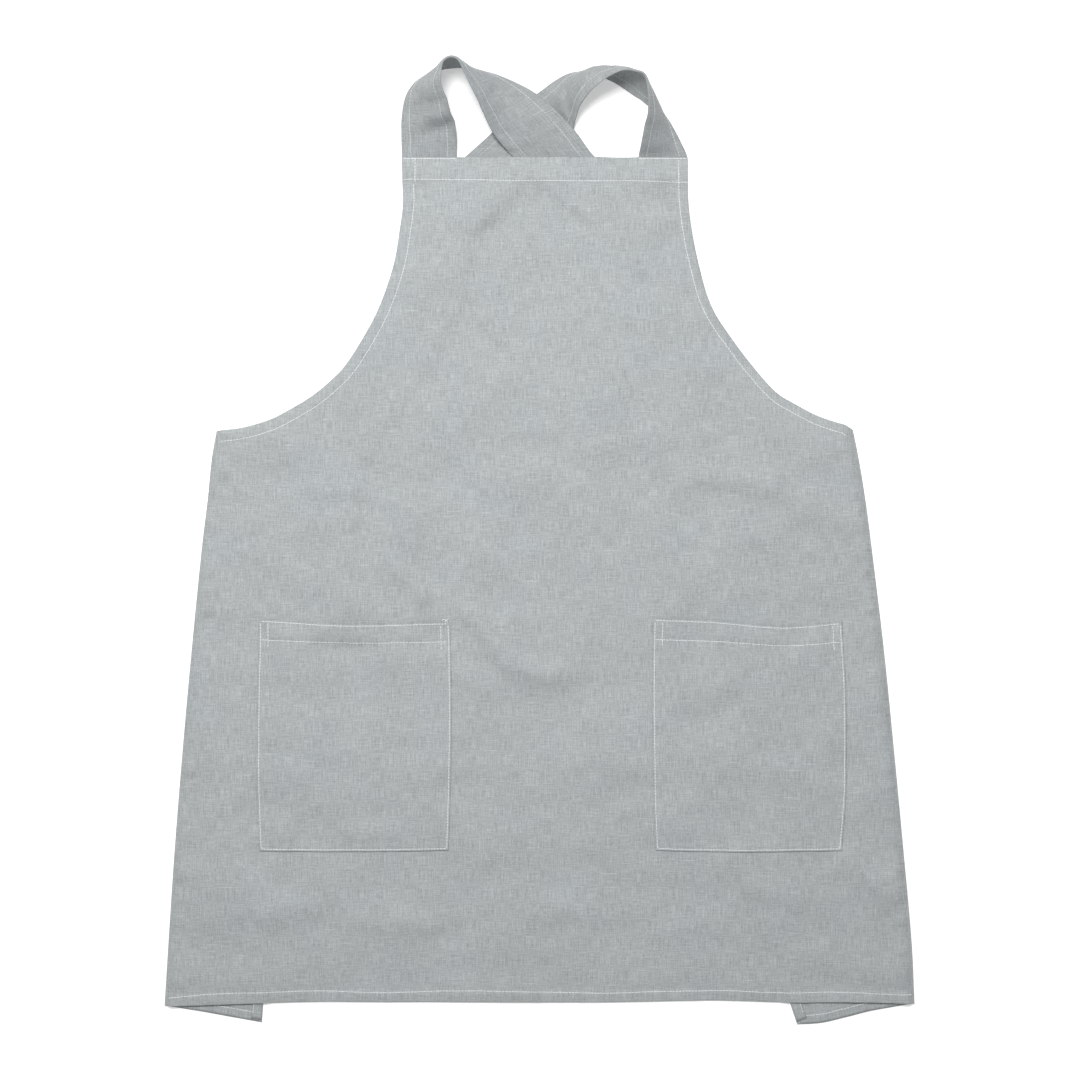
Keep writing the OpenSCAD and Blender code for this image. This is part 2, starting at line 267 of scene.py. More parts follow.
# mouth, right side, foot and left side, each a list of points
left_pocket_edges = [
    [(-280.7, -79.8), (-265, -80.3), (-230, -82.6), (-200, -84.2), (-180, -84.5), (-150, -84), (-120, -83),
     (-90, -82.2)],
    [(-90, -82.4), (-88.8, -120), (-88.5, -200), (-90, -270), (-91.3, -310)],
    [(-91.3, -310), (-140, -311), (-230, -311), (-280, -310)],
    [(-280, -310), (-282, -250), (-282.2, -160), (-281, -110), (-280.7, -80)],
]
right_pocket_edges = [
    [(112.9, -78.6), (145, -79.6), (177.5, -81.2), (220.5, -85.4), (246.4, -86.4), (275, -84.6),
     (301.5, -81.8)],
    [(301.5, -82.4), (302.5, -103), (305, -146), (305.8, -215), (305, -258), (301, -310)],
    [(301, -310), (250, -311), (160, -311), (115.5, -310)],
    [(115.5, -310), (113.2, -250), (112.2, -160), (112.5, -110), (112.9, -79)],
]

# ---- what lies under the front ----
left_tail = [(-28, 384), (54, 384), (134, 326), (100, 283)]
right_tail = [(-75, 384), (4, 384), (-90, 283), (-124, 326)]
left_strap_end = [(-138, 384), (-83, 384), (-83, 361), (-138, 361)]
right_strap_end = [(98.5, 384), (147, 384), (147, 361), (98.5, 361)]


def band(line, a, b):
    """The outline of a strip beside a line."""
    return np.vstack([sideways(line, a), sideways(line, b)[::-1]])


BACK_Z = 0.5  # the back panels' lowest height over the table
TAIL_TOP = 3.9  # top of a strap tail where it ends on the back panel
CROSSED_TAILS = (4.6, 2.5)  # tops of the left and right tail at the bib's edge
STRAP_END_TOP = 2.9
back_mask = np.maximum(mask(left_back_outline), mask(right_back_outline))
# line, and where the turned strip starts and stops beside it
back_hems = {
    "left_back_edge_hem": (left_centre[8:-1], -0.4, -HEM_D),
    "right_back_edge_hem": (right_centre[8:-1], 0.4, HEM_D),
    "left_back_bottom_hem": (left_flap[1:-2], -0.4, -BACK_FLAP_HEM_D),
    "right_back_bottom_hem": (right_flap[1:-2], 0.4, BACK_FLAP_HEM_D),
    "left_back_armhole_hem": (left_back_arm[6:], -0.4, -FACING_D),
    "right_back_armhole_hem": (right_back_arm[6:], 0.4, FACING_D),
}
back_hem_mask = np.zeros(XX.shape)
for line, a, b in back_hems.values():
    back_hem_mask = np.maximum(back_hem_mask, mask(band(line, a, b)))
BACK_TOP = BACK_Z + CLOTH
BACK_WAVES = blur(np.maximum(0.25 + 0.25 * noise(14, seed=21), 0.1), 2)
under = back_mask * (BACK_TOP + 0.5) + back_hem_mask * HEM_RISE
for tail, top_at_bib in zip((left_tail, right_tail), CROSSED_TAILS):
    rise_to_bib = smooth((YY - 300) / 70)
    under = np.maximum(under, mask(tail) * (TAIL_TOP + (top_at_bib - TAIL_TOP) * rise_to_bib))
for strap_end in (left_strap_end, right_strap_end):
    under = np.maximum(under, mask(strap_end) * STRAP_END_TOP)
SUPPORT = blur(widest(under, 3), 3.2)

# ---- wrinkles of the front, seen in its shading ----
# points, half of the height, and width
FRONT_CREASES = [
    ([(-88, -50), (-60, -84), (-36, -114), (1, -133), (60, -131)], 2.6, 9),
    ([(-162, -8), (-130, -42), (-104, -66)], 1.9, 7),
    ([(-112, -95), (-96, -122), (-60, -146), (-30, -152)], 1.3, 8),
    ([(-246, 45), (-195, 52), (-145, 44)], 1.7, 8),
    ([(118, 48), (165, 62), (215, 60), (262, 46)], 2.2, 9),
    ([(-36, 121), (-12, 109), (30, 115)], 1.3, 7),
    ([(36, 94), (62, 90), (90, 95)], 0.7, 6),
    ([(-75, 58), (-35, 64), (0, 72)], 0.7, 6),
    ([(246, 44), (290, 24), (322, 4)], 1.8, 10),
    ([(296, -306), (325, -336), (368, -360)], 2.4, 9),
    ([(-290, -384), (-250, -370), (-205, -372)], 1.8, 10),
    ([(-172, -398), (-132, -380), (-90, -392)], 1.7, 9),
    ([(-30, -384), (20, -366), (70, -380)], 1.3, 10),
    ([(120, -392), (150, -380), (190, -396)], 0.8, 8),
    ([(196, -346), (236, -350), (266, -372)], 1.4, 10),
    ([(-40, 330), (-62, 322), (-84, 306)], 0.9, 9),
    ([(-118, 262), (-134, 230), (-152, 198)], 1.0, 8),
    ([(84, 366), (104, 358), (126, 352)], 0.9, 7),
    ([(60, 250), (80, 190), (108, 124), (116, 60)], 0.7, 6),
    ([(-330, -150), (-322, -260), (-336, -390)], 1.2, 16),
    ([(318, -100), (326, -190), (338, -290)], 1.2, 14),
    ([(-196, 60), (-190, 10), (-192, -40)], 0.6, 6),
    ([(-40, 362), (-5, 357), (34, 361)], 0.9, 8),
    ([(-118, 328), (-72, 336), (-28, 324)], 1.6, 14),
    ([(-140, 268), (-112, 264), (-82, 254)], 1.4, 13),
    ([(80, 288), (108, 274), (128, 258)], 0.9, 10),
    ([(70, 371), (100, 366), (134, 368)], 0.8, 6),
    ([(-340, -372), (-262, -352), (-176, -366)], 1.3, 20),
]
wrinkles = sum(crease(p, h * 2.0, w) for p, h, w in FRONT_CREASES)
wrinkles += 1.4 * noise(42, 34, seed=3) + 2.1 * noise(17, 13, seed=4) + 0.65 * noise(8, 6, seed=5)
wrinkles += 0.09 * noise(3.4, seed=6)
wrinkles -= np.percentile(wrinkles, 2)
wrinkles = np.maximum(wrinkles, 0) * (0.3 + 0.7 * np.clip(2 * blur(mask(front_outline), 11) - 1, 0, 1))
REST = 0.4  # the front's lowest height over what lies under it


class Nearest:
    """Gives each point's distance from a line, and how far along the line it is."""

    def __init__(self, line):
        self.p = even(np.asarray(line)[:, :2], 1.0)
        self.tree = KDTree(len(self.p))
        for i, (x, y) in enumerate(self.p):
            self.tree.insert((x, y, 0), i)
        self.tree.balance()

    def __call__(self, x, y):
        found = [self.tree.find((a, b, 0)) for a, b in zip(x, y)]
        return np.array([f[2] for f in found]), np.array([f[1] for f in found], float)


PUCKER_LENGTH = 1600


def pucker_row(seed):
    """Small ups and downs along a stitch row, one value for each millimetre."""
    w = np.exp(-0.5 * (np.arange(-12, 13) / 3.2) ** 2)
    a = np.convolve(np.random.default_rng(seed).standard_normal(PUCKER_LENGTH), w / w.sum(), "same")
    return a / (1.6 * a.std())


PUCKER = [pucker_row(40 + k) for k in range(6)]


def pucker(s, row):
    return np.interp(s, np.arange(PUCKER_LENGTH), PUCKER[row % 6])


def hem_field(x, y, edges):
    """The rise over turned edges, and the puckers and groove along their stitches."""
    rise = np.zeros(len(x))
    dent = np.zeros(len(x))
    for k, (near, depth) in enumerate(edges):
        d, s = near(x, y)
        rise = np.maximum(rise, smooth((depth + 1.2 - d) / 2.4))
        dent += pucker(s, k) * 0.22 * np.exp(-(((d - depth * 0.8) / 7.5) ** 2))
        dent -= 0.28 * np.exp(-(((d - depth) / 1.1) ** 2))
    return rise * HEM_RISE, dent


front_edges = [
    (Nearest(left_arm), HEM_D),
    (Nearest(right_arm), HEM_D),
    (Nearest(bottom), HEM_D),
    (Nearest(bib_edge), BIB_HEM_D),
]
sides = [Nearest(left_side), Nearest(right_side)]
SIDE_Z = 1.6  # the front's underside at its side folds, where it meets the back panels


def front_bottom(x, y):
    x, y = np.asarray(x, float), np.asarray(y, float)
    rise, dent = hem_field(x, y, front_edges)
    z = REST + sample(SUPPORT, x, y) + sample(wrinkles, x, y) + rise + np.maximum(dent, -0.2)
    for near in sides:
        d, s = near(x, y)
        roll = 1.5 + 0.9 * pucker(s, 4)
        z = z + np.clip(roll, 0.3, 3) * np.exp(-(((d - 9) / 7) ** 2))
        z = z + (SIDE_Z - z) * 0.93 * np.exp(-((d / 3.4) ** 2))
    return z


def front_top(x, y):
    return front_bottom(x, y) + CLOTH


# ---- meshes ----
def make(name, verts, faces, uv=None):
    """A mesh object from millimetres. uv holds the cloth's own coordinates, one pair for each vertex."""
    me = bpy.data.meshes.new(name)
    me.from_pydata((np.asarray(verts, float) * MM).tolist(), [], faces)
    me.validate()
    me.update()
    me.shade_smooth()
    if uv is not None:
        layer = me.uv_layers.new(name="weave")
        index = np.empty(len(me.loops), int)
        me.loops.foreach_get("vertex_index", index)
        layer.data.foreach_set("uv", (np.asarray(uv)[index] * MM).astype(np.float32).ravel())
    ob = bpy.data.objects.new(name, me)
    bpy.context.scene.collection.objects.link(ob)
    return ob


def triangulate(outline, rows, grid, features=()):
    """Points and triangles inside an outline, and its area.

    The points are the outline, rows at set distances from it, features and a plain grid.
    """
    edge = np.asarray(outline, float)
    near = Nearest(np.vstack([edge, edge[:1]]))
    area = 0.5 * np.sum(edge[:, 0] * np.roll(edge[:, 1], -1) - np.roll(edge[:, 0], -1) * edge[:, 1])
    closed = np.vstack([edge[-1:], edge, edge[:1]])
    picked = [edge]
    for d in rows:
        p = sideways(closed, d if area > 0 else -d)[1:-1]
        dist, _ = near(p[:, 0], p[:, 1])
        picked.append(p[(dist > d - 0.25) & inside(edge, *p.T)])
    last = max(rows) if rows else 0
    for line in features:
        for side in (-1.6, 0, 1.6):
            p = sideways(even(line, 3.5), side)
            dist, _ = near(p[:, 0], p[:, 1])
            picked.append(p[(dist > last + 1.5) & inside(edge, *p.T)])
    x = np.arange(edge[:, 0].min(), edge[:, 0].max(), grid)
    y = np.arange(edge[:, 1].min(), edge[:, 1].max(), grid)
    gx, gy = np.meshgrid(x, y)
    p = np.column_stack([gx.ravel(), gy.ravel()])
    p = p[inside(edge, *p.T)]
    dist, _ = near(p[:, 0], p[:, 1])
    p = p[dist > last + grid * 0.55]
    if len(features):
        taken = np.vstack(picked[1 + len(rows) :])
        tree = KDTree(len(taken))
        for i, (a, b) in enumerate(taken):
            tree.insert((a, b, 0), i)
        tree.balance()
        p = p[[tree.find((a, b, 0))[2] > 2.4 for a, b in p]]
    picked.append(p)
    pts = np.vstack(picked)
    loop = [(i, (i + 1) % len(edge)) for i in range(len(edge))]
    out = delaunay_2d_cdt([Vector(v) for v in pts], loop, [], 1, 1e-4)
    pts = np.array([(v.x, v.y) for v in out[0]])
    tris = []
    for f in out[2]:
        a, b, c = (pts[i] for i in f)
        ccw = (b[0] - a[0]) * (c[1] - a[1]) - (b[1] - a[1]) * (c[0] - a[0])
        tris.append(tuple(f) if ccw > 0 else tuple(reversed(f)))
    return pts, tris, abs(area)


EDGE_ROWS = (0.9, 2.2, 4, 6.4, 9.5, 11, 12.5, 15.5)
OTHER_FACE = 37.0  # moves the weave's pattern on a sheet's second face


def turned(x, y, angle):
    """The cloth's own coordinates, where its grain is turned by an angle."""
    c, s = math.cos(angle), math.sin(angle)
    return np.column_stack([x * c + y * s, y * c - x * s])


def sheet(name, outline, top, thick, rows=EDGE_ROWS, grid=4.5, features=(), turn=0.0, rim=0.3):
    """A closed sheet of cloth over an outline, and its area in square metres.

    top gives the upper face's height, and rim the share of the thickness that is rounded off.
    """
    pts, tris, area = triangulate(outline, list(rows), grid, features)
    x, y = pts.T
    z = np.asarray(top(x, y), float)
    t = np.full(len(x), thick, float)
    d, _ = Nearest(np.vstack([outline, outline[:1]]))(x, y)
    round_off = rim * t * np.clip(1 - d / 1.0, 0, 1) ** 2
    n = len(pts)
    verts = np.vstack([np.column_stack([x, y, z - round_off]), np.column_stack([x, y, z - t + round_off])])
    used = {}
    for f in tris:
        for i in range(3):
            used[(f[i], f[(i + 1) % 3])] = True
    faces = list(tris) + [(n + c, n + b, n + a) for a, b, c in tris]
    faces += [(b, a, n + a, n + b) for a, b in used if (b, a) not in used]
    uv = turned(x, y, turn)
    return make(name, verts, faces, np.vstack([uv, uv + OTHER_FACE])), area * MM * MM


def strip(name, line, a, b, top, thick, turn=0.0, cols=5):
    """A closed strip of cloth beside a line, such as a hem, facing or seam."""
    offs = np.linspace(a, b, cols)
    rows = np.stack([sideways(line, o) for o in offs], 1)
    m = len(line)
    z = np.asarray(top(rows[..., 0].ravel(), rows[..., 1].ravel()), float).reshape(m, cols)
    up = np.concatenate([rows, z[..., None]], 2)
    down = np.concatenate([rows, (z - thick)[..., None]], 2)
    return closed_grid(name, up, down, turn)


def closed_grid(name, up, down, turn=0.0, uv=None):
    """A closed skin between two grids of points."""
    m, c = up.shape[:2]
    n = m * c
    flip = np.cross(up[1, 0] - up[0, 0], up[0, 1] - up[0, 0])[2] < 0 if uv is None else False
    ids = np.arange(n).reshape(m, c)
    quads = np.stack([ids[:-1, :-1], ids[1:, :-1], ids[1:, 1:], ids[:-1, 1:]], -1).reshape(-1, 4)
    faces = quads.tolist() + (quads[:, ::-1] + n).tolist()
    loop = [*ids[0, :], *ids[1:, -1], *ids[-1, -2::-1], *ids[-2:0:-1, 0]]
    faces += [(a, b, b + n, a + n) for a, b in zip(loop, loop[1:] + loop[:1])]
    if flip:
        faces = [tuple(reversed(f)) for f in faces]
    verts = np.vstack([up.reshape(-1, 3), down.reshape(-1, 3)])
    if uv is None:
        uv = turned(verts[:, 0], verts[:, 1], turn)
    else:
        uv = np.vstack([uv.reshape(-1, 2), uv.reshape(-1, 2) + OTHER_FACE])
    return make(name, verts, [tuple(f) for f in faces], uv)


# ---- stitches ----
STITCH, GAP, THREAD_R = 3.0, 0.14, 0.35
SIDES = 6  # of a stitch's cross section
RING = np.array([(math.cos(a), math.sin(a)) for a in np.linspace(0, 2 * math.pi, SIDES, endpoint=False)])
# along a stitch: share of its length, share of its thickness, and lift off the cloth
SHAPE = [(0.0, 0.4, -0.16), (0.12, 0.82, 0.06), (0.5, 1.0, 0.14), (0.88, 0.82, 0.06), (1.0, 0.4, -0.16)]


def at_distance(at, s, values):
    """The row of values at a distance along a run."""
    return np.array([np.interp(at, s, v) for v in values.T])


def stitch_mesh(name, runs, seed=1, radius=THREAD_R):
    """Rows of separate stitches. Each run is (points, normals) along a surface."""
    rng = np.random.default_rng(seed)
    verts, faces = [], []
    for pts, nrm in runs:
        pts, nrm = np.asarray(pts, float), np.asarray(nrm, float)
        s = np.concatenate([[0], np.cumsum(np.linalg.norm(np.diff(pts, axis=0), axis=1))])
        count = max(1, int(s[-1] / (STITCH + GAP)))
        pitch = s[-1] / count
        for k in range(count):
            a = k * pitch + GAP / 2 + rng.uniform(-0.12, 0.12)
            b = a + pitch - GAP + rng.uniform(-0.15, 0.1)
            base = len(verts)
            wide = radius * rng.uniform(0.88, 1.12)
            slip = rng.uniform(-0.12, 0.12)
            sink = rng.uniform(-0.16, 0.05) * radius / THREAD_R
            for share, size, lift in SHAPE:
                at = a + (b - a) * share
                u = at_distance(at, s, nrm)
                ahead = unit(at_distance(at + 0.5, s, pts) - at_distance(at - 0.5, s, pts))
                across = unit(np.cross(ahead, u))
                c = at_distance(at, s, pts) + across * slip + u * (lift + sink + 0.05)
                for cx, cy in RING:
                    verts.append(c + across * cx * wide * size + u * cy * wide * 0.75 * size)
            rings = base + np.arange(len(SHAPE) * SIDES).reshape(-1, SIDES)
            for ring, after in zip(rings, rings[1:]):
                faces += np.stack([ring, np.roll(ring, -1), np.roll(after, -1), after], 1).tolist()
            faces += [rings[0][::-1].tolist(), rings[-1].tolist()]
    verts = np.array(verts)
    verts[:, 2] = np.maximum(verts[:, 2], 0.02)  # stitches underneath stay above the table
    return make(name, verts, faces)


class Skin:
    """The upper or lower surface of some meshes, in millimetres."""

    def __init__(self, *objects, below=False):
        self.way = -1 if below else 1
        self.trees = []
        for ob in objects:
            me = ob.data
            points, polygons = [v.co[:] for v in me.vertices], [p.vertices[:] for p in me.polygons]
            self.trees.append(BVHTree.FromPolygons(points, polygons))

    def __call__(self, x, y):
        """The height and normal at a point, or None where there is nothing."""
        best, normal = None, None
        for tree in self.trees:
            start = Vector((x * MM, y * MM, 0.3 * self.way))
            hit, n, _, _ = tree.ray_cast(start, Vector((0, 0, -self.way)))
            if hit is not None and (best is None or hit.z * self.way > best * self.way):
                best, normal = hit.z, n if n.z * self.way > 0 else -n
        return (None if best is None else best / MM), normal


def on_surface(line, skin):
    """A run of points on a surface, with its normals."""
    p = even(np.asarray(line, float)[:, :2], 1.5)
    pts, normals = [], []
    for x, y in p:
        z, n = skin(x, y)
        if z is not None:
            pts.append((x, y, z))
            normals.append(n[:])
    pts, normals = np.array(pts), np.array(normals)
    k = np.array([0.25, 0.5, 0.25])
    mean = np.convolve(np.pad(pts[:, 2], 1, "edge"), k, "valid")
    pts[:, 2] = skin.way * np.maximum(mean * skin.way, pts[:, 2] * skin.way - 0.05)
    return pts, unit(normals)


# ---- materials ----
def new_material(name, **constants):
    """A node material, its tree and its shader, with the numbers that are the same all over."""
    mat = bpy.data.materials.new(name)
    mat.use_nodes = True
    shader = mat.node_tree.nodes["Principled BSDF"]
    for key, value in constants.items():
        shader.inputs[key.replace("_", " ")].default_value = value
    return mat, mat.node_tree, shader


def feed(tree, value, socket):
    """Links an output to a socket, or sets the socket to a number or colour."""
    if hasattr(value, "links"):
        tree.links.new(value, socket)
    else:
        socket.default_value = value


def maths(tree, op, a, b=0.0, clamp=False):
    n = tree.nodes.new("ShaderNodeMath")
    n.operation = op
    n.use_clamp = clamp
    feed(tree, a, n.inputs[0])
    feed(tree, b, n.inputs[1])
    return n.outputs[0]


def add_parts(tree, total, parts, middle=0.0):
    """Adds to total each part's distance from the middle, times its share."""
    for part, share in parts:
        if middle:
            part = maths(tree, "SUBTRACT", part, middle)
        total = maths(tree, "ADD", total, maths(tree, "MULTIPLY", part, share))
    return total


def stretched(tree, source, sx, sy, detail=2.0, rough=0.5, offset=0.0):
    """Noise with its own scale along each thread direction."""
    m = tree.nodes.new("ShaderNodeMapping")
    m.inputs["Scale"].default_value = (sx, sy, 1)
    m.inputs["Location"].default_value = (offset, offset * 0.7, 0)
    tree.links.new(source, m.inputs["Vector"])
    t = tree.nodes.new("ShaderNodeTexNoise")
    t.inputs["Scale"].default_value = 1.0
    t.inputs["Detail"].default_value = detail
    t.inputs["Roughness"].default_value = rough
    tree.links.new(m.outputs[0], t.inputs["Vector"])
    return t.outputs["Fac"]


def mix_colours(tree, factor, a, b, way="MIX"):
    mix = tree.nodes.new("ShaderNodeMix")
    mix.data_type = "RGBA"
    mix.blend_type = way
    first, second = [i for i in mix.inputs if i.type == "RGBA"]
    feed(tree, a, first)
    feed(tree, b, second)
    feed(tree, factor, mix.inputs["Factor"])
    return next(o for o in mix.outputs if o.type == "RGBA")


def bumped(tree, height, strength, distance):
    """Gives the shader a bump from a height."""
    bump = tree.nodes.new("ShaderNodeBump")
    bump.inputs["Strength"].default_value = strength
    bump.inputs["Distance"].default_value = distance
    tree.links.new(height, bump.inputs["Height"])
    tree.links.new(bump.outputs[0], tree.nodes["Principled BSDF"].inputs["Normal"])


WEAVE_PITCH = 1.3  # two threads of the plain weave


def linen(name, dark, light, seed=0.0):
    """Slubby plain-weave linen. The weave map is in metres, so that threads keep their size."""
    mat, tree, shader = new_material(name, Sheen_Weight=0.12, Sheen_Roughness=0.5, Specular_IOR_Level=0.25)
    uv = tree.nodes.new("ShaderNodeUVMap")
    uv.uv_map = "weave"
    scale = tree.nodes.new("ShaderNodeVectorMath")
    scale.operation = "SCALE"
    scale.inputs["Scale"].default_value = 1000.0
    tree.links.new(uv.outputs[0], scale.inputs[0])
    mm = scale.outputs[0]
    weft = stretched(tree, mm, 0.065, 1.25, 2.0, 0.55, seed)
    warp = stretched(tree, mm, 1.25, 0.06, 2.0, 0.55, seed + 11)
    fine_weft = stretched(tree, mm, 0.28, 2.2, 1.0, 0.5, seed + 23)
    fine_warp = stretched(tree, mm, 2.2, 0.28, 1.0, 0.5, seed + 31)
    blotch = stretched(tree, mm, 0.02, 0.024, 2.0, 0.5, seed + 5)
    tint = stretched(tree, mm, 0.016, 0.014, 2.0, 0.5, seed + 71)
    slub = stretched(tree, mm, 0.05, 0.62, 0.0, 0.5, seed + 47)
    slub = maths(tree, "MULTIPLY", maths(tree, "SUBTRACT", slub, 0.66, clamp=True), 1.2)
    threads = ((weft, 0.95), (warp, 1.2), (fine_weft, 0.7), (fine_warp, 0.8), (blotch, 0.22))
    tone = maths(tree, "ADD", add_parts(tree, slub, threads, 0.5), 0.5, clamp=True)
    cloth = mix_colours(tree, tone, (*dark, 1), (*light, 1))
    shade = maths(tree, "MULTIPLY", maths(tree, "SUBTRACT", tint, 0.5), 2.2)
    shade = maths(tree, "ADD", shade, 0.5, clamp=True)
    hue = mix_colours(tree, shade, (0.985, 1.0, 1.02, 1), (1.0, 1.003, 0.985, 1))
    tree.links.new(mix_colours(tree, 1.0, cloth, hue, "MULTIPLY"), shader.inputs["Base Color"])
    split = tree.nodes.new("ShaderNodeSeparateXYZ")
    wobble = tree.nodes.new("ShaderNodeTexNoise")
    wobble.inputs["Scale"].default_value = 0.12
    wobble.inputs["Detail"].default_value = 1.0
    tree.links.new(mm, wobble.inputs["Vector"])
    moved = tree.nodes.new("ShaderNodeVectorMath")
    moved.operation = "MULTIPLY_ADD"
    moved.inputs[1].default_value = (1.4, 1.4, 1.4)
    tree.links.new(wobble.outputs["Color"], moved.inputs[0])
    tree.links.new(mm, moved.inputs[2])
    tree.links.new(moved.outputs[0], split.inputs[0])
    pitch = 2 * math.pi / WEAVE_PITCH
    sx = maths(tree, "SINE", maths(tree, "MULTIPLY", split.outputs["X"], pitch))
    sy = maths(tree, "SINE", maths(tree, "MULTIPLY", split.outputs["Y"], pitch))
    weave = maths(tree, "MULTIPLY", sx, sy)
    height = maths(tree, "MULTIPLY", weave, 0.16)
    height = add_parts(tree, height, ((weft, 0.9), (warp, 0.9), (fine_weft, 0.4), (fine_warp, 0.4)))
    bumped(tree, height, 0.55, 0.0005)
    rough = maths(tree, "ADD", maths(tree, "MULTIPLY", fine_warp, 0.16), 0.8, clamp=True)
    tree.links.new(rough, shader.inputs["Roughness"])
    return mat


def thread_material():
    """Near-white spun thread with a faint twist."""
    mat, tree, shader = new_material("sewing_thread", Roughness=0.75, Sheen_Weight=0.15)
    co = tree.nodes.new("ShaderNodeTexCoord")
    n = tree.nodes.new("ShaderNodeTexNoise")
    n.inputs["Scale"].default_value = 900
    n.inputs["Detail"].default_value = 2
    tree.links.new(co.outputs["Object"], n.inputs["Vector"])
    ramp = tree.nodes.new("ShaderNodeValToRGB")
    ramp.color_ramp.elements[0].position = 0.3
    ramp.color_ramp.elements[0].color = (0.78, 0.80, 0.80, 1)
    ramp.color_ramp.elements[1].position = 0.7
    ramp.color_ramp.elements[1].color = (0.90, 0.91, 0.91, 1)
    tree.links.new(n.outputs["Fac"], ramp.inputs[0])
    tree.links.new(ramp.outputs[0], shader.inputs["Base Color"])
    bumped(tree, n.outputs["Fac"], 0.4, 0.0001)
    return mat


FACE = linen("linen", (0.262, 0.275, 0.278), (0.511, 0.534, 0.540))
INSIDE = linen("linen_inside", (0.250, 0.264, 0.268), (0.495, 0.520, 0.527), 60)
# painted shade: the straps are the same linen as the front, made about 14% darker to stand in for the shade
# on their raised, tilted faces
STRAP_LINEN_PAINTED_SHADE = linen("strap_linen", (0.224, 0.235, 0.239), (0.440, 0.461, 0.466), 130)
THREAD = thread_material()


def dress(ob, material, slot_name, *replaced):
    """Gives a piece its material and hides the CAD nodes that it stands for. slot_name is not used."""
    ob.data.materials.append(material)
    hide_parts(*replaced)


def finish_piece(ob, material, slot_name, body, replaced):
    dress(ob, material, slot_name, replaced)
    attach(ob, body)


# ---- front ----
front_features = [sideways(bib_edge, -BIB_HEM_D)]
front, front_area = sheet("front_linen", front_outline, front_top, CLOTH, features=front_features)
finish_piece(front, FACE, "linen", "apron", "front_panel")


def hem_top(x, y):
    return front_bottom(x, y) - 0.06


arm_lines = {"left": left_arm[8:-3], "right": right_arm[8:-3]}
bib_hem = strip("bib_top_turning", bib_edge[1:-1], -0.6, -BIB_HEM_D + 0.4, hem_top, TURNED, cols=7)
left_arm_hem = strip("left_armhole_turning", arm_lines["left"], 0.6, HEM_D - 0.4, hem_top, TURNED)
right_arm_hem = strip("right_armhole_turning", arm_lines["right"], -0.6, -HEM_D + 0.4, hem_top, TURNED)
bottom_turn = strip("bottom_turning", bottom[3:-3], 0.6, HEM_D - 0.4, hem_top, TURNED)
for ob, cad in (
    (bib_hem, "bib_top_hem"), (left_arm_hem, "left_armhole_hem"),
    (right_arm_hem, "right_armhole_hem"), (bottom_turn, "bottom_hem"),
):
    finish_piece(ob, INSIDE, "linen_turnings", "apron", cad)


# ---- back ----
def back_top(x, y):
    return BACK_TOP + sample(BACK_WAVES, x, y)


def back_hem_top(x, y):
    return back_top(x, y) + 0.05 + 0.5


BACK_TURN = {"left": math.radians(-10), "right": math.radians(10)}  # the grain of the folded panels
back_area = {}
for side, outline in (("left", left_back_outline), ("right", right_back_outline)):
    ob, back_area[side] = sheet(
        f"{side}_back_linen", outline, back_top, CLOTH, rows=(0.9, 3, 7), grid=5.5, turn=BACK_TURN[side]
    )
    finish_piece(ob, FACE, "linen", "apron", f"{side}_back_panel")
for name, (line, a, b) in back_hems.items():
    over = 0.5 if "edge" in name else 0.0  # at the feet, the edge hem lies over the bottom hem

    def hem_over(x, y):
        return back_hem_top(x, y) + over * smooth((-452 - np.asarray(y)) / 9)

    grain = BACK_TURN[name.split("_")[0]]
    ob = strip(name.replace("hem", "turning"), line, a, b, hem_over, TURNED, grain)
    finish_piece(ob, INSIDE, "linen_turnings", "apron", name)


def seam_top(x, y):
    return np.minimum(front_bottom(x, y) - 0.05, 2.2)


for side, line, way in (("left", left_side, 1), ("right", right_side, -1)):
    ob = strip(f"{side}_side_seam_roll", line[5:-3], way * 0.5, way * SEAM_D, seam_top, 0.5)
    finish_piece(ob, INSIDE, "linen_turnings", "apron", f"{side}_side_seam")


# ---- pockets ----
POCKET_ROWS = {
    "left": [(-280.7, -99.6), (-230, -101.6), (-180, -103), (-130, -102.4), (-90, -101.7)],
    "right": [(113, -99.3), (177, -101.3), (215, -104), (250, -105.5), (302, -101.8)],
}
POCKET_CREASES = {
    "left": [
        ([(-232, -104), (-190, -111), (-150, -106)], -2.0, 6),
        ([(-200, -118), (-212, -150), (-218, -180)], -1.3, 7),
        ([(-118, -104), (-106, -128), (-96, -140)], 1.5, 6),
    ],
    "right": [
        ([(180, -104), (225, -108), (262, -103)], -2.2, 7),
        ([(160, -104), (182, -132), (202, -160)], 1.5, 7),
        ([(225, -92), (250, -98), (280, -94)], -0.5, 4),
    ],
}
LOOSE_END = [
    (-98, -80.2), (-95.6, -79.3), (-93.4, -80.2), (-92.2, -82), (-93.6, -83), (-94.8, -81.6), (-92.6, -79.2),
    (-90.6, -78.6),
]
TACK = slice(1, 10)  # the short rows of stitches at the ends of a pocket's mouth


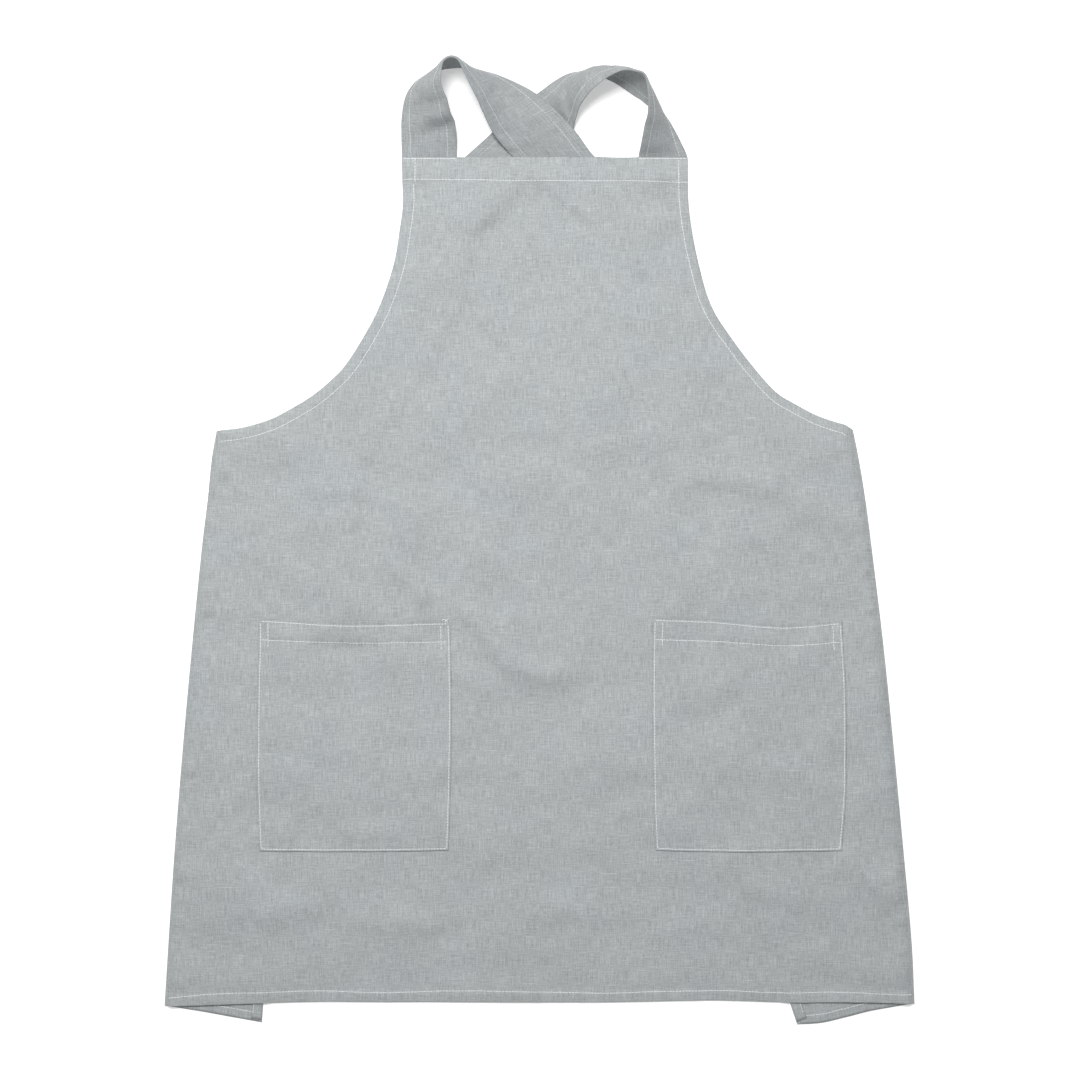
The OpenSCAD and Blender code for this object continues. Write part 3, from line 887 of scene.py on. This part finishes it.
def make_pocket(side, edges, seed):
    """A patch pocket on the front, sewn on three sides and a little open at its mouth."""
    lines = [spline(e) for e in edges]
    outline = np.vstack([line[:-1] for line in lines])
    mouth, right, foot, left = (Nearest(line) for line in lines)
    x0, x1 = outline[:, 0].min(), outline[:, 0].max()
    puff = 1.5 + 0.6 * noise(22, 18, seed=seed) + 0.35 * noise(9, 7, seed=seed + 1)
    puff += 0.08 * noise(4, seed=seed + 2)
    for points, height, width in POCKET_CREASES[side]:
        puff += crease(points, height, width)

    def parts(x, y):
        """How far the pocket stands off the front, and its hems, grooves and puckers."""
        dm, sm = mouth(x, y)
        dr, sr = right(x, y)
        df, _ = foot(x, y)
        dl, sl = left(x, y)
        seam = np.minimum(np.minimum(dr, df), dl)
        free = smooth(seam / 24)
        u = np.clip((x - x0) / (x1 - x0), 0, 1)
        gape = 2.0 * np.sin(math.pi * u) ** 1.5 * np.exp(-dm / 45)
        edge_hem = smooth((9.5 - seam) / 2.2) * TURNED
        hem = smooth((20 - dm) / 2.2) * HEM_RISE
        row = -0.3 * np.exp(-(((dm - 19) / 1.3) ** 2)) - 0.16 * np.exp(-(((seam - 2.0) / 0.9) ** 2))
        puckers = pucker(sm, seed) * 0.25 * np.exp(-(((dm - 18) / 8) ** 2))
        puckers += pucker(np.where(dr < dl, sr, sl), seed + 2) * 0.16 * np.exp(-((seam / 5) ** 2))
        lift = free * (gape + np.maximum(sample(puff, x, y), 0) + 0.3)
        return lift, np.maximum(edge_hem, hem) + row + puckers * 0.8

    def top(x, y):
        lift, extra = parts(x, y)
        return front_top(x, y) + 0.12 + lift + extra.clip(-0.3) + 0.62

    def turning_top(x, y):
        return top(x, y) - 0.66

    row_line = spline(POCKET_ROWS[side])
    ob, area = sheet(
        f"{side}_patch_pocket", outline, top, POCKET_CLOTH, rows=(0.9, 2.1, 3.6, 6.5, 9, 11),
        features=[row_line[4:-4]], rim=0.35,
    )
    finish_piece(ob, FACE, "linen", "apron", f"{side}_pocket")
    mouth_line = sideways(lines[0], -0.8)[6:-6]
    turn = strip(f"{side}_pocket_turning", mouth_line, 0.0, -POCKET_HEM_D, turning_top, 0.35, cols=6)
    finish_piece(turn, INSIDE, "linen_turnings", "apron", f"{side}_pocket_hem")

    skin = Skin(ob)

    def run(line):
        return on_surface(line, skin)

    seam_line = np.vstack([sideways(lines[k], -1.9)[::-1][1:-1] for k in (3, 2, 1)])
    runs = [run(seam_line), run(sideways(lines[0], -1.5)[1:-1])]
    runs.append(run(sideways(lines[3], -9.5)[::-1][TACK]))
    runs.append(run(sideways(lines[1], -9.5)[TACK]))
    if side == "left":
        runs.append(on_surface(spline(LOOSE_END, 1.0), Skin(ob, front)))
    seams = stitch_mesh(f"{side}_pocket_stitches", runs, seed)
    finish_piece(seams, THREAD, "thread", "apron", f"{side}_pocket_thread")
    across = stitch_mesh(f"{side}_pocket_hem_stitches", [run(row_line[1:-1])], seed + 1)
    finish_piece(across, THREAD, "thread", "apron", f"{side}_pocket_hem_thread")
    return ob, turn, area, lines


pockets = {
    "left": make_pocket("left", left_pocket_edges, 50),
    "right": make_pocket("right", right_pocket_edges, 61),
}

# ---- stitches of the front and back ----
# the CAD thread of each row, and its lines
rows_of = {
    "bib_top_thread": [spline([(-136, 360), (-60, 359), (0, 358), (80, 357.6), (147, 357)])],
    "left_armhole_thread": [
        spline([(-124.5, 381), (-124.7, 357)]), sideways(left_arm, HEM_D)[9:-1],
    ],
    "right_armhole_thread": [sideways(right_arm, -HEM_D + 2)[1:-1]],
    "bottom_hem_thread": [
        spline([(-371, -457), (-350, -455), (-323, -453), (-270, -451.5), (-216, -450.3), (-156, -452),
                (-66, -450.3), (60, -452.6), (116, -451), (183, -450), (239, -452), (305, -451.5),
                (340, -453), (371, -454)])
    ],
    "left_strap_end_thread": [even([(-136, 380.6), (-84, 380.6)], 3)],
    "right_strap_end_thread": [even([(99, 380.6), (146, 380.6)], 3)],
}
front_skin, hem_skin = Skin(front), Skin(bottom_turn, below=True)
for k, (cad, lines) in enumerate(rows_of.items()):
    runs = [on_surface(line, front_skin) for line in lines]
    if cad == "bottom_hem_thread":
        runs.append(on_surface(lines[0][45:-45], hem_skin))
    ob = stitch_mesh(cad.replace("thread", "stitches"), runs, 70 + k)
    finish_piece(ob, THREAD, "thread", "apron", cad)
# where the strap tails are sewn to the back panels
TAIL_BOX = {
    "left": [(-107.5, 344.5), (-81, 311), (-91, 291.5), (-117.5, 325), (-107.5, 344.5)],
    "right": [(85, 353.5), (57.5, 318.5), (99, 290), (126.5, 325), (85, 353.5)],
}
for side, centre, flap, arm, way in (
    ("left", left_centre, left_flap, left_back_arm, -1),
    ("right", right_centre, right_flap, right_back_arm, 1),
):
    lines = [
        sideways(centre, way * (HEM_D - 1.5))[20:-3],
        sideways(flap, way * (BACK_FLAP_HEM_D - 1.6))[3:-2],
        sideways(arm, way * (FACING_D - 2))[14:-14],
    ]
    cloth = [o for o in bpy.data.objects if o.name.startswith(f"{side}_back_")]
    skin, outside = Skin(*cloth), Skin(*cloth, below=True)
    runs = [on_surface(line, skin) for line in lines] + [on_surface(line, outside) for line in lines]
    runs.append(on_surface(TAIL_BOX[side], outside))
    ob = stitch_mesh(f"{side}_back_stitches", runs, 90, 0.3)
    finish_piece(ob, THREAD, "thread", "apron", f"{side}_back_hem_thread")

# ---- straps ----
# Each station: outer edge x, y, z, inner edge x, y, z, then how far the middle bulges outwards.
LOOP_Y = BIB_TOP + 1.5
LEFT = [
    (-137.5, 361, 1.2, -83, 361, 1.2, 0),
    (-138, 372, 1.2, -83, 372, 1.2, 0),
    (-138, LOOP_Y, 1.5, -83, LOOP_Y, 1.8, 0.4),
    (-138.5, 405, 1.4, -83, 404, 11, 2),
    (-138, 425, 1.2, -87, 420, 28, 4),
    (-134, 443, 1.2, -92, 432, 43, 5),
    (-124, 457, 1.2, -96.5, 447, 53, 5),
    (-106, 467, 1.2, -96, 460, 55.5, 4),
    (-97, 470.5, 1.2, -93.5, 467.5, 56, 3.5),
    (-88, 471.5, 1.2, -87, 470.5, 56, 3),
    (-78, 471.5, 1.2, -80.5, 468, 55.5, 3),
    (-66, 470, 1.2, -76, 460, 54, 3),
    (-46, 465, 1.5, -70, 448, 49, 4),
    (-24, 456, 4.5, -60, 430, 38, 4),
    (-5, 445, 9, -53, 415, 25, 3),
    (12, 431, 11, -46, 403, 16, 2),
    (33, 410, 9, -37, 392.5, 9, 1),
    (54, LOOP_Y, 3.1, -28, LOOP_Y, 3.1, 0),
    (73, 370, 3.0, -14, 370, 3.0, 0),
    (104, 348, 3.0, 36, 330, 3.0, 0),
    (134, 326, 2.9, 100, 283, 2.9, 0),
]
RIGHT = [
    (147, 361, 1.2, 98.5, 361, 1.2, 0),
    (147, 372, 1.2, 98.5, 372, 1.2, 0),
    (147, LOOP_Y, 1.5, 98.5, LOOP_Y, 2.2, 0.8),
    (141, 397, 1.6, 100.5, 394, 15, 4),
    (134, 410, 1.4, 103, 407, 31, 5),
    (127, 420, 1.2, 105, 417, 44, 6),
    (117, 429, 1.2, 106, 430, 53, 6),
    (107, 435, 1.2, 104.5, 445, 55.5, 6),
    (101, 440, 1.2, 102, 453.5, 56, 4),
    (94, 444, 1.2, 96.5, 456.5, 56, 7),
    (84, 451, 1.2, 83, 458.5, 53, 10),
    (74, 457, 1.2, 71, 455.5, 49, 12),
    (62, 462.5, 1.2, 59, 449, 44, 13),
    (46, 467, 1.2, 48, 440, 36, 11),
    (30, 466, 1.2, 40, 430, 26, 7),
    (14, 458, 1.2, 35.5, 419, 14, 2),
    (-6, 444, 1.2, 33, 409, 3, 0),
    (-27, 427, 1.2, 24, 398, 2.4, 0),
    (-48, 407, 1.4, 15, 390, 2, 0),
    (-74, LOOP_Y, 1.4, 4, LOOP_Y, 1.4, 0),
    (-92, 367, 1.5, -16, 365, 1.5, 0),
    (-108, 346, 2.3, -54, 325, 2.3, 0),
    (-124, 326, 2.9, -90, 283, 2.9, 0),
]


# shares of a strap's width, closer together at its edges and its two rows of stitches
ACROSS = np.array([
    0, 0.012, 0.04, 0.09, 0.14, 0.165, 0.19, 0.25, 0.33, 0.42, 0.5, 0.58, 0.67, 0.75, 0.81, 0.835, 0.86, 0.91,
    0.96, 0.988, 1,
])
STITCH_COLUMNS = (5, 15)
TABLE_GAP = 0.15


def fold(ss, uu, s0, u0, angle, long, wide):
    """A soft ridge on a strap, about 1 high, from its middle, direction and half size."""
    dx, dy = ss - s0, uu - u0
    p, q = dx * math.cos(angle) + dy * math.sin(angle), -dx * math.sin(angle) + dy * math.cos(angle)
    return np.exp(-((p / long) ** 2) - (q / wide) ** 2)


def make_strap(side, stations, way, creases, seed):
    """A strap swept through its stations, with its hems, folds and stitches. way is the side it faces."""
    fine = spline(np.asarray(stations, float), 2.4)
    a, b, bulge = fine[:, :3], fine[:, 3:6], fine[:, 6]
    centre = (a + b) / 2
    along = np.concatenate([[0], np.cumsum(np.linalg.norm(np.diff(centre, axis=0), axis=1))])
    total = along[-1]
    ahead = np.gradient(centre, axis=0)
    normal = unit(np.cross(b - a, ahead)) * way
    k = np.array([0.25, 0.5, 0.25])
    for _ in range(6):
        normal[1:-1] = unit(k[0] * normal[:-2] + k[1] * normal[1:-1] + k[2] * normal[2:])
    u = ACROSS
    rng = np.random.default_rng(seed)
    ss, uu = np.meshgrid(along, u * STRAP_W, indexing="ij")
    rough = np.zeros(ss.shape)
    for _ in range(34):
        s0, u0 = rng.uniform(30, total - 60), rng.uniform(-5, 60)
        angle = rng.normal(math.pi / 2, 0.5)
        long, wide = rng.uniform(14, 34), rng.uniform(3.5, 7)
        rough += rng.uniform(-0.95, 0.95) * fold(ss, uu, s0, u0, angle, long, wide)
    for *place, depth in creases:
        rough += depth * fold(ss, uu, *place)
    free = smooth((centre[:, 1] - BIB_TOP - 1) / 18)[:, None]
    edge = np.minimum(uu, STRAP_W - uu)
    seam = 0.28 * smooth((10 - edge) / 2) - 0.22 * np.exp(-(((edge - 9.2) / 1.1) ** 2))
    lift = rough * free + seam
    mid = a[:, None] + (b - a)[:, None] * u[None, :, None]
    arch = (bulge[:, None] * 4 * u * (1 - u))[..., None]
    surface = mid + normal[:, None] * (arch + lift[..., None] * 0.9)
    raised = smooth((centre[:, 1] - BIB_TOP - 2) / 15)[:, None]
    thick = (1.35 + 1.25 * raised * smooth((9 - edge) / 7)) * (1 - 0.6 * np.clip(1 - edge / 1.6, 0, 1) ** 2)
    up = surface + normal[:, None] * (thick / 2)[..., None]
    down = surface - normal[:, None] * (thick / 2)[..., None]
    down[..., 2] = np.maximum(down[..., 2], TABLE_GAP)
    up[..., 2] = np.maximum(up[..., 2], TABLE_GAP + 0.5)
    faces = (down, up) if way > 0 else (up, down)
    ob = closed_grid(f"{side}_shoulder_strap", *faces, uv=np.stack([uu, ss], -1))
    shown = (centre[:, 1] > BIB_TOP + 0.5) & (along > 10)
    first, last = np.where(shown)[0][[0, -1]]
    runs = []
    for j in STITCH_COLUMNS:
        keep = slice(first, last + 1)
        runs.append((up[keep, j], normal[keep]))
        high = np.flatnonzero((down[:, j, 2] > 0.9) & shown)
        for part in np.split(high, np.flatnonzero(np.diff(high) > 1) + 1):
            if len(part) > 4:
                runs.append((down[part, j], -normal[part]))
    stitches = stitch_mesh(f"{side}_strap_stitches", runs, seed + 3, 0.18)
    # the strap takes the darker copy of the linen, whose extra darkness is painted shade
    dress(ob, STRAP_LINEN_PAINTED_SHADE, "strap_linen", f"{side}_strap", f"{side}_strap_tail")
    dress(stitches, THREAD, "thread", f"{side}_strap_thread")
    for piece in (ob, stitches):
        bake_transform(piece)
    return ob, total


# folds: distance along, distance across, angle, half length, half width, depth
straps = {
    "left": make_strap(
        "left", LEFT, 1,
        [(50, 40, 1.2, 22, 5, -3.2), (64, 44, 1.3, 16, 5, 2.4), (78, 38, 1.35, 20, 5, -3.2),
         (66, 16, 1.4, 16, 6, -2.0), (92, 30, 1.4, 22, 5, 1.6), (205, 34, 0.25, 40, 5, -2.4),
         (235, 14, 0.15, 30, 5, 1.0), (262, 40, 0.4, 26, 6, -1.6)], 5,
    ),
    "right": make_strap(
        "right", RIGHT, -1,
        [(40, 20, 0.3, 30, 6, 1.4), (58, 14, 0.2, 26, 5, -1.6), (205, 20, 1.2, 30, 8, -5.0),
         (188, 30, 1.1, 26, 6, 2.0), (228, 30, 1.0, 20, 7, -2.4)], 9,
    ),
}

# ---- each pocket's pieces, unpacked ----
for side in ("left", "right"):
    ob, turn, area, lines = pockets[side]

# ---- stage ----
scene = bpy.context.scene
FLOOR = 15.0  # from the middle to each side
corners = [(-FLOOR, -FLOOR, 0), (FLOOR, -FLOOR, 0), (FLOOR, FLOOR, 0), (-FLOOR, FLOOR, 0)]
floor_me = bpy.data.meshes.new("floor")
floor_me.from_pydata(corners, [], [(0, 1, 2, 3)])
floor = bpy.data.objects.new("floor", floor_me)
scene.collection.objects.link(floor)
white, _, _ = new_material(
    "white_table", Base_Color=(0.82, 0.82, 0.82, 1), Emission_Color=(1, 1, 1, 1), Emission_Strength=0.34,
    Roughness=0.9, Specular_IOR_Level=0.1,
)
floor_me.materials.append(white)

scene.view_settings.view_transform = "Standard"
world = scene.world or bpy.data.worlds.new("world")
scene.world = world
world.use_nodes = True
background = world.node_tree.nodes["Background"]
background.inputs["Color"].default_value = (1, 1, 1, 1)
background.inputs["Strength"].default_value = 0.34

KEY_PLACE = Vector((-0.24, 0.78, 2.1))
light = bpy.data.lights.new("key", "AREA")
light.shape = "RECTANGLE"
light.size = light.size_y = 0.62
light.energy = 47
key = bpy.data.objects.new("key", light)
key.location = KEY_PLACE
key.rotation_euler = (-KEY_PLACE).to_track_quat("-Z", "Y").to_euler()
scene.collection.objects.link(key)

CAMERA_HEIGHT = 2.2
VIEW_WIDTH = 1.08  # metres of table across the picture
cam_data = bpy.data.cameras.new("camera")
cam_data.sensor_width = 36
cam_data.lens = cam_data.sensor_width * CAMERA_HEIGHT / VIEW_WIDTH
cam_data.clip_end = 50
camera = bpy.data.objects.new("camera", cam_data)
camera.location = (0, 0, CAMERA_HEIGHT)
scene.collection.objects.link(camera)
scene.camera = camera
